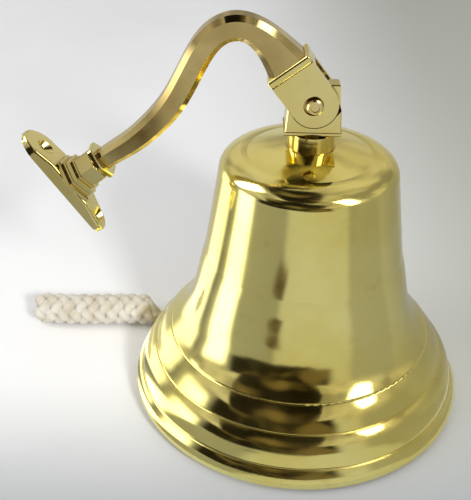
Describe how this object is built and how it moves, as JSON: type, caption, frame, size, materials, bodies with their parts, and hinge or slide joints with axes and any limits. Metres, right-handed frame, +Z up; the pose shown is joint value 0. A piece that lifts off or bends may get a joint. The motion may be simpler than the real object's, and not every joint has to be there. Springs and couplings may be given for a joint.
{
  "type": "ship bell",
  "caption": "Polished brass ship bell with a clapper and plaited pull rope, pinned to a swan-neck wall bracket that swings on the crown lug.",
  "frame": {"origin": "on the surface that the bell stands on, below the middle of the bell and bracket's bounding box", "axes": "+Z up, +Y along the bracket pin towards its head, the bracket lies towards -X"},
  "size_m": [0.2744, 0.203, 0.2412],
  "materials": {
    "brass": "mirror polished",
    "plain_brass": "machined",
    "rope": "plaited cotton"
  },
  "bodies": {
    "bell": {"bell_shell": "brass", "crown_lug": "brass", "crown_stud": "plain_brass", "inner_washer": "plain_brass", "crown_nut": "plain_brass", "clapper_clevis": "brass", "clapper_pin": "brass", "pivot_pin": "brass", "pivot_washer": "brass", "rope_tail": "rope", "rope_braid": "rope"},
    "clapper": {"clapper_rod": "plain_brass", "clapper_ball": "brass", "rope_eye": "brass"},
    "bracket": {"bracket_fork": "brass", "arm_band": "brass", "bracket_arm": "brass", "fork_stud": "plain_brass", "socket_stud": "plain_brass", "socket_collar": "brass", "wall_socket": "brass", "wall_plate": "brass"}
  },
  "joints": [
    {"name": "bracket_pivot", "type": "hinge", "parent": "bell", "child": "bracket", "pos_m": [0.03215, -0.00322, 0.19384], "axis": [0.0002, 0.9999, 0.0173], "range_deg": [0, 76]},
    {"name": "clapper_swing", "type": "hinge", "parent": "bell", "child": "clapper", "pos_m": [0.03052, -0.00216, 0.13247], "axis": [0.0002, 0.9999, 0.0173], "range_deg": [-31, 33]}
  ]
}
